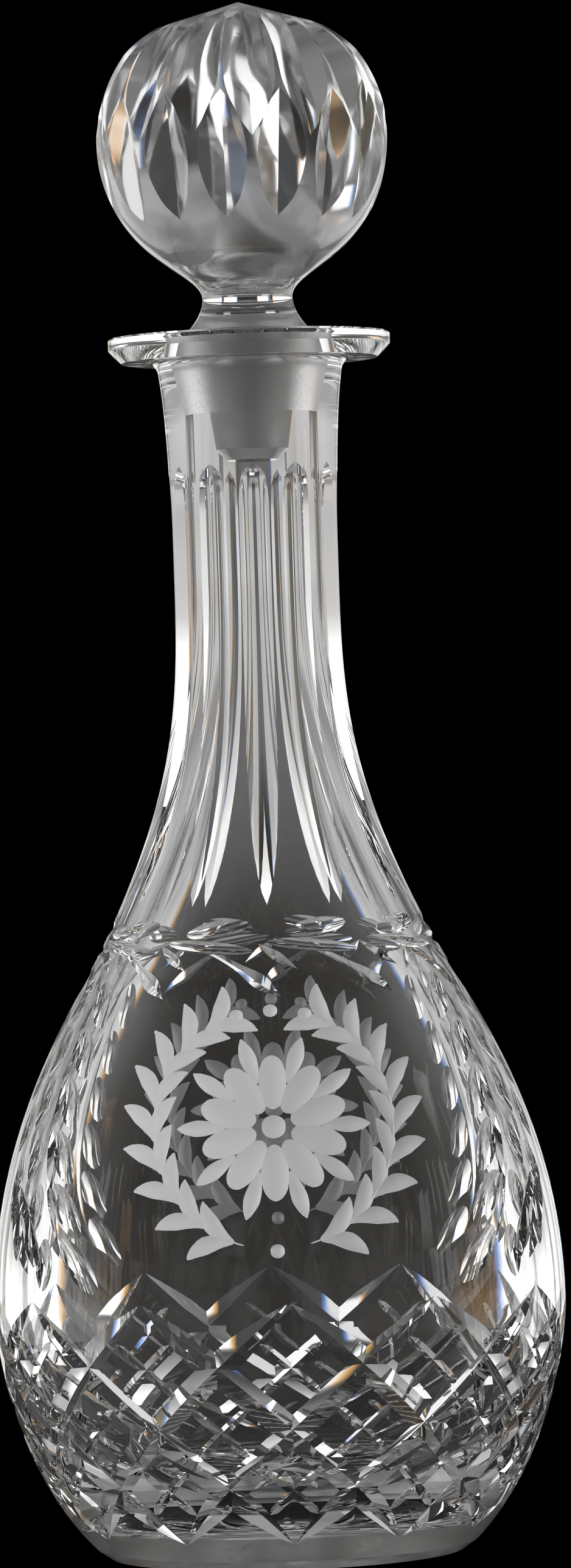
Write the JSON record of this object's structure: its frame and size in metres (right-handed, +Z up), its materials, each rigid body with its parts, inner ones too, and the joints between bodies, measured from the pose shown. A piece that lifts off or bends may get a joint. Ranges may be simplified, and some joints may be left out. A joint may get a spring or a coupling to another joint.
{
  "type": "decanter",
  "caption": "Tall cut-glass decanter with a pear-shaped body, fluted neck and flat lip, closed by a solid ball stopper that lifts out.",
  "frame": {"origin": "on the table, under the middle of the foot", "axes": "+Z up along the decanter's own axis; the front panel faces -Y, +X to its right"},
  "size_m": [0.1198, 0.1198, 0.325],
  "materials": {
    "vessel_glass": "polished",
    "stopper_glass": "polished"
  },
  "bodies": {
    "vessel": {"vessel": "vessel_glass"},
    "stopper": {"stopper": "stopper_glass"}
  },
  "joints": [
    {"name": "stopper_lift", "type": "slide", "parent": "vessel", "child": "stopper", "axis": [0, 0, 1], "range_m": [0, 0.04]}
  ]
}
